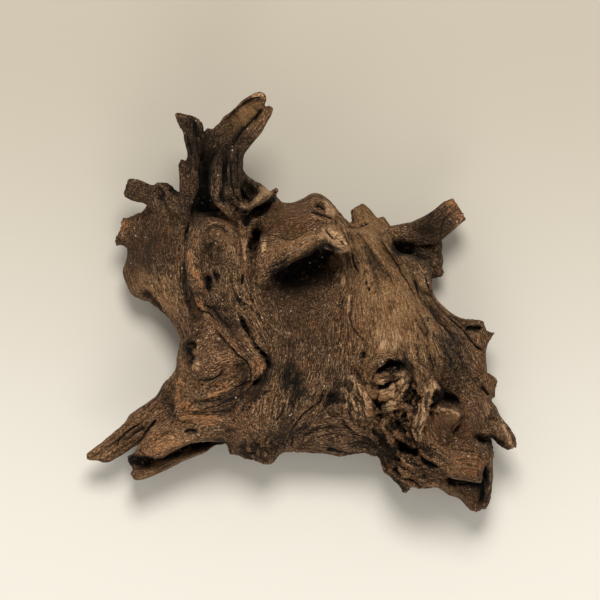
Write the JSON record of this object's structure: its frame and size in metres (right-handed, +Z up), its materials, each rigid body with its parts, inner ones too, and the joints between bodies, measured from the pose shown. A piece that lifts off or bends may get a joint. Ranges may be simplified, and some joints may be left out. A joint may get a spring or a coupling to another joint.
{
  "type": "driftwood",
  "caption": "Gnarled piece of dark root driftwood with horns, torn stubs and an overhung hollow, for a tank, terrarium or shelf.",
  "frame": {"origin": "centre of the bounding box in plan, on the surface that the piece rests on", "axes": "+Z up from the surface, +X to the right and +Y up the piece as it is seen from above with its horns at the top left"},
  "size_m": [0.2996, 0.2922, 0.1057],
  "materials": {
    "weathered_wood": "weathered, dry and unsealed root wood, brushed clean"
  },
  "bodies": {
    "root": {"driftwood": "weathered_wood"}
  },
  "joints": []
}
